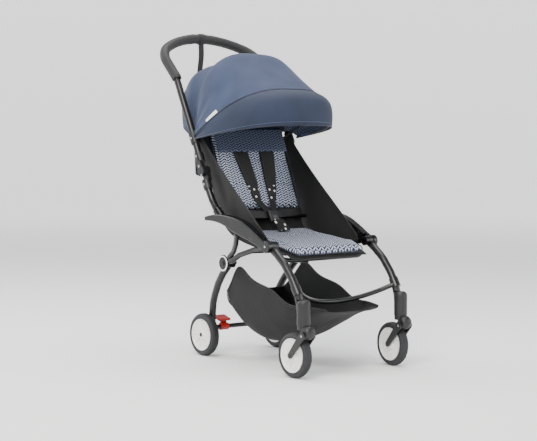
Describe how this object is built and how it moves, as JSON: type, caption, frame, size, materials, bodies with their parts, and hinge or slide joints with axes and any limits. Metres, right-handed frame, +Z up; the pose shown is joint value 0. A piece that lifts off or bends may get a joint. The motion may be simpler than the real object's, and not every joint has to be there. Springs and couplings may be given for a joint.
{
  "type": "baby stroller",
  "caption": "Compact folding stroller with a swept U handle, fabric canopy and visor, padded seat with harness, curved armrests, swivel front casters and a shopping basket.",
  "frame": {"origin": "on the ground, under the middle of the bounding box", "axes": "+Z up, the front of the stroller faces -Y, +X is the seated child's left"},
  "size_m": [0.4392, 0.8598, 1.06],
  "materials": {
    "frame_tube": "satin black powder coat",
    "frame_plastic": "fine-textured black moulding",
    "armrest_plastic": "semi-gloss black moulding",
    "joint_steel": "dark brushed steel",
    "trim_plastic": "white gloss moulding",
    "grip_foam": "closed-cell foam",
    "grip_button": "matt black moulding",
    "canopy_fabric": "navy and slate canopy cloth",
    "canopy_flap": "navy ripstop",
    "bow_plastic": "black moulded bow",
    "seat_fabric": "blue herringbone cloth",
    "band_fabric": "navy herringbone cloth",
    "black_fabric": "black ripstop",
    "webbing": "woven polyester webbing",
    "harness_pad": "quilted black cloth",
    "buckle_plastic": "black moulded buckle",
    "strap_red": "red webbing",
    "pedal_plastic": "red moulding",
    "tyre": "moulded foam tyre",
    "wheel_disc": "white moulded disc"
  },
  "bodies": {
    "chassis": {"armrest_left": "armrest_plastic", "armrest_right": "armrest_plastic", "lower_handle_tubes": "frame_tube", "hinge_collars_lower": "frame_plastic", "front_pivots": "joint_steel", "side_tubes": "frame_tube", "struts": "frame_tube", "ring_caps": "frame_plastic", "ring_trims": "trim_plastic", "recline_rod": "joint_steel", "seat_front_tube": "frame_tube", "seat_sling": "black_fabric", "seat_pad": "seat_fabric", "fold_hub": "frame_plastic", "fold_links": "joint_steel", "pull_strap": "strap_red", "wing_left": "black_fabric", "wing_right": "black_fabric", "crotch_strap": "webbing", "basket": "black_fabric"},
    "backrest": {"backrest_pad": "seat_fabric", "headrest_band": "band_fabric", "shoulder_straps": "webbing", "harness_pad_left": "harness_pad", "harness_pad_right": "harness_pad", "harness_buckle": "buckle_plastic", "waist_straps": "webbing"},
    "handle": {"handle_tube": "frame_tube", "handle_grip": "grip_foam", "hinge_collars_upper": "frame_plastic", "canopy_clamps": "frame_plastic", "rear_bow": "bow_plastic", "canopy_shell": "canopy_fabric", "canopy_flap": "canopy_flap", "wrist_strap": "webbing"},
    "grip_button": {"grip_button": "grip_button"},
    "canopy_front": {"front_bow": "bow_plastic"},
    "visor": {"visor_edge": "bow_plastic"},
    "front_legs": {"front_leg_left": "frame_tube", "front_leg_right": "frame_tube", "crossbar": "frame_tube", "caster_housing_left": "frame_plastic", "caster_housing_right": "frame_plastic"},
    "rear_legs": {"rear_leg_left": "frame_tube", "rear_leg_right": "frame_tube", "rear_axle_bar": "frame_tube"},
    "brake_pedal": {"brake_pedal": "pedal_plastic"},
    "caster_left": {"caster_knuckle_left": "frame_plastic"},
    "fork_left": {"fork_left": "frame_plastic"},
    "front_wheel_left": {"front_tyre_left": "tyre", "front_disc_left": "wheel_disc"},
    "rear_wheel_left": {"rear_tyre_left": "tyre", "rear_disc_left": "wheel_disc"},
    "caster_right": {"caster_knuckle_right": "frame_plastic"},
    "fork_right": {"fork_right": "frame_plastic"},
    "front_wheel_right": {"front_tyre_right": "tyre", "front_disc_right": "wheel_disc"},
    "rear_wheel_right": {"rear_tyre_right": "tyre", "rear_disc_right": "wheel_disc"}
  },
  "joints": [
    {"name": "handle_fold", "type": "hinge", "parent": "chassis", "child": "handle", "pos_m": [0, 0.116, 0.603], "axis": [1, 0, 0], "range_deg": [0, 110], "deforming": ["canopy_shell", "canopy_flap", "wing_left", "wing_right", "wrist_strap"]},
    {"name": "grip_button_press", "type": "slide", "parent": "handle", "child": "grip_button", "axis": [0, -0.7193, -0.6947], "range_m": [0, 0.0012], "stiffness_N_per_m": 400},
    {"name": "canopy_fold", "type": "hinge", "parent": "handle", "child": "canopy_front", "pos_m": [0, 0.178, 0.703], "axis": [1, 0, 0], "range_deg": [-60, 0]},
    {"name": "visor_fold", "type": "hinge", "parent": "canopy_front", "child": "visor", "pos_m": [0, 0.178, 0.703], "axis": [1, 0, 0], "range_deg": [-16, 0]},
    {"name": "recline", "type": "hinge", "parent": "chassis", "child": "backrest", "pos_m": [0, 0.04, 0.452], "axis": [1, 0, 0], "range_deg": [-22, 112], "deforming": ["crotch_strap"]},
    {"name": "front_fold", "type": "hinge", "parent": "chassis", "child": "front_legs", "pos_m": [0, -0.235, 0.384], "axis": [1, 0, 0], "range_deg": [0, 80], "deforming": ["basket"]},
    {"name": "rear_fold", "type": "hinge", "parent": "chassis", "child": "rear_legs", "pos_m": [0, 0.054, 0.311], "axis": [1, 0, 0], "range_deg": [-80, 0]},
    {"name": "brake", "type": "hinge", "parent": "rear_legs", "child": "brake_pedal", "pos_m": [0, 0.164, 0.092], "axis": [1, 0, 0], "range_deg": [-12, 0]},
    {"name": "caster_swivel_left", "type": "hinge", "parent": "front_legs", "child": "caster_left", "pos_m": [-0.193, -0.388, 0.178], "axis": [0, 0, 1], "continuous": true},
    {"name": "suspension_left", "type": "hinge", "parent": "caster_left", "child": "fork_left", "pos_m": [-0.193, -0.405, 0.132], "axis": [1, 0, 0], "range_deg": [0, 5], "stiffness_Nm_per_rad": 40, "springref_deg": -2.29},
    {"name": "front_wheel_spin_left", "type": "hinge", "parent": "fork_left", "child": "front_wheel_left", "pos_m": [-0.193, -0.348, 0.068], "axis": [1, 0, 0], "continuous": true},
    {"name": "rear_wheel_spin_left", "type": "hinge", "parent": "rear_legs", "child": "rear_wheel_left", "pos_m": [-0.15, 0.18, 0.069], "axis": [1, 0, 0], "continuous": true},
    {"name": "caster_swivel_right", "type": "hinge", "parent": "front_legs", "child": "caster_right", "pos_m": [0.193, -0.388, 0.178], "axis": [0, 0, 1], "continuous": true},
    {"name": "suspension_right", "type": "hinge", "parent": "caster_right", "child": "fork_right", "pos_m": [0.19152, -0.40493, 0.132], "axis": [0.9962, -0.0872, 0], "range_deg": [0, 5], "stiffness_Nm_per_rad": 40, "springref_deg": -2.29},
    {"name": "front_wheel_spin_right", "type": "hinge", "parent": "fork_right", "child": "front_wheel_right", "pos_m": [0.19649, -0.34815, 0.068], "axis": [0.9962, -0.0872, 0], "continuous": true},
    {"name": "rear_wheel_spin_right", "type": "hinge", "parent": "rear_legs", "child": "rear_wheel_right", "pos_m": [0.15, 0.18, 0.069], "axis": [1, 0, 0], "continuous": true}
  ],
  "couplings": [
    {"joint": "canopy_fold", "follows": "handle_fold", "ratio": -0.54545},
    {"joint": "visor_fold", "follows": "handle_fold", "ratio": -0.14545},
    {"joint": "rear_fold", "follows": "front_fold", "ratio": -1}
  ]
}
